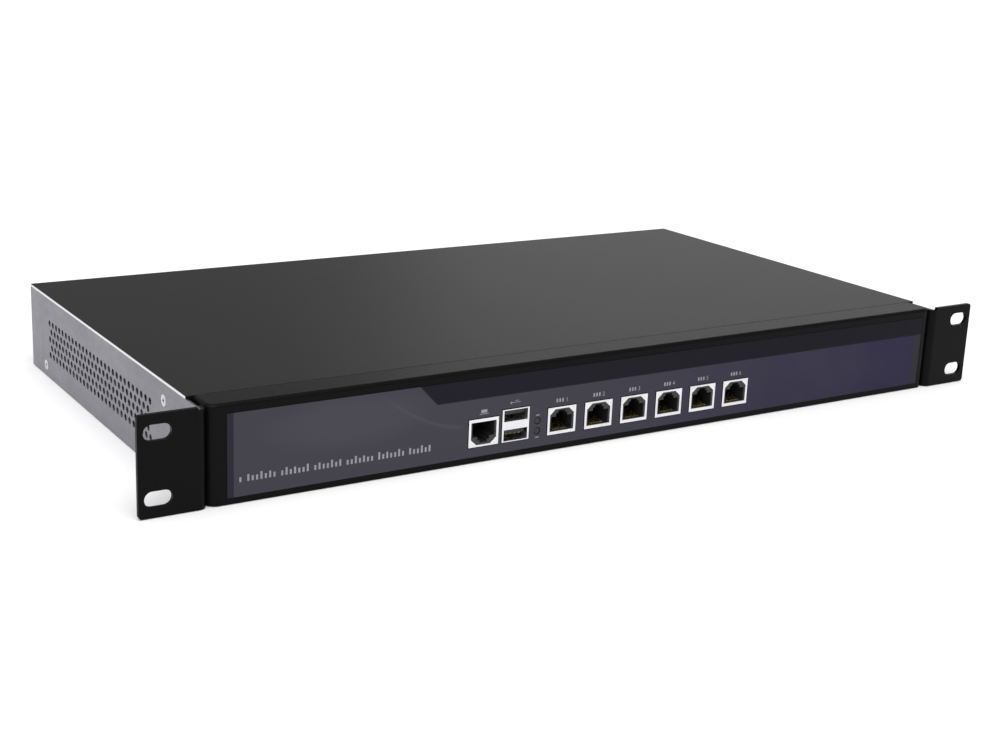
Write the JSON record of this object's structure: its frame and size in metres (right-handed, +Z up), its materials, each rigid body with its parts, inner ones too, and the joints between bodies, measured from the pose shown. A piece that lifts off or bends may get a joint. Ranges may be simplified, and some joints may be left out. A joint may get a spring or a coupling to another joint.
{
  "type": "rack firewall appliance",
  "caption": "Shallow rack-mounting network security appliance: black folded front with network jacks, USB and console sockets, vented sides, rack ears, rear fans, mains inlet and rocker switch.",
  "frame": {"origin": "centre of the footprint, on the underside", "axes": "+X to the right seen from the front, +Y to the back, +Z up"},
  "size_m": [0.4826, 0.2446, 0.0445],
  "materials": {
    "black_plastic": "moulded",
    "black_screw": "black plated",
    "can_aluminium": "sleeved can",
    "cell_steel": "nickel plated",
    "circuit_board": "solder mask",
    "cover_black": "fine textured black coat",
    "galvanised": "galvanised sheet",
    "gold": "gold plated",
    "lead_black": "sleeved",
    "lead_red": "sleeved",
    "lens": "moulded lens",
    "overlay": "printed film",
    "panel_black": "satin black coat",
    "screw_steel": "zinc plated",
    "shield_steel": "plated sheet",
    "sink_aluminium": "anodised",
    "standoff_brass": "turned",
    "white_plastic": "moulded"
  },
  "bodies": {
    "chassis": {"base_tray": "galvanised", "board_capacitors": "can_aluminium", "board_connectors": "white_plastic", "board_screws": "screw_steel", "board_standoffs": "standoff_brass", "chips": "black_plastic", "coin_cell": "cell_steel", "coin_cell_holder": "black_plastic", "console_jack_shield": "shield_steel", "cover_screws": "screw_steel", "drive_bracket": "galvanised", "drive_leads": "lead_red", "drive_screws": "screw_steel", "fan_frame_1": "black_plastic", "fan_frame_2": "black_plastic", "fan_leads": "lead_black", "fan_screws": "black_screw", "flat_head_screws": "screw_steel", "front_overlay": "overlay", "front_panel": "panel_black", "front_panel_screws": "screw_steel", "heat_sink": "sink_aluminium", "inlet_pins": "shield_steel", "jack_inserts": "black_plastic", "lan_jack_1_shield": "shield_steel", "lan_jack_2_shield": "shield_steel", "lan_jack_3_shield": "shield_steel", "lan_jack_4_shield": "shield_steel", "lan_jack_5_shield": "shield_steel", "lan_jack_6_shield": "shield_steel", "left_ear": "panel_black", "light_holder": "black_plastic", "light_lenses": "lens", "mainboard": "circuit_board", "mainboard_lead": "lead_black", "mains_inlet": "black_plastic", "mains_leads": "lead_black", "memory_module": "circuit_board", "memory_socket": "black_plastic", "power_coils": "black_plastic", "processor": "circuit_board", "rear_panel": "galvanised", "right_ear": "panel_black", "socket_contacts": "gold", "solid_state_drive": "sink_aluminium", "supply_board": "circuit_board", "supply_capacitors": "can_aluminium", "supply_heat_sinks": "sink_aluminium", "supply_lid": "galvanised", "supply_terminals": "black_plastic", "supply_transformer": "black_plastic", "supply_tray": "sink_aluminium", "switch_housing": "black_plastic", "switch_terminals": "shield_steel", "usb_shell": "shield_steel", "usb_tongues": "black_plastic"},
    "power_rocker": {"power_rocker": "black_plastic"},
    "fan_rotor_1": {"fan_rotor_1": "black_plastic"},
    "fan_rotor_2": {"fan_rotor_2": "black_plastic"},
    "top_cover": {"top_cover": "cover_black"}
  },
  "joints": [
    {"name": "rocker_tilt", "type": "hinge", "parent": "chassis", "child": "power_rocker", "pos_m": [0.14, 0.11581, 0.022], "axis": [1, 0, 0], "range_deg": [0, 18]},
    {"name": "fan_1_spin", "type": "hinge", "parent": "chassis", "child": "fan_rotor_1", "pos_m": [0.01, 0.10841, 0.0216], "axis": [0, 1, 0], "continuous": true},
    {"name": "fan_2_spin", "type": "hinge", "parent": "chassis", "child": "fan_rotor_2", "pos_m": [0.056, 0.10841, 0.0216], "axis": [0, 1, 0], "continuous": true},
    {"name": "cover_lift", "type": "slide", "parent": "chassis", "child": "top_cover", "axis": [0, 0, 1], "range_m": [0, 0.12]}
  ]
}
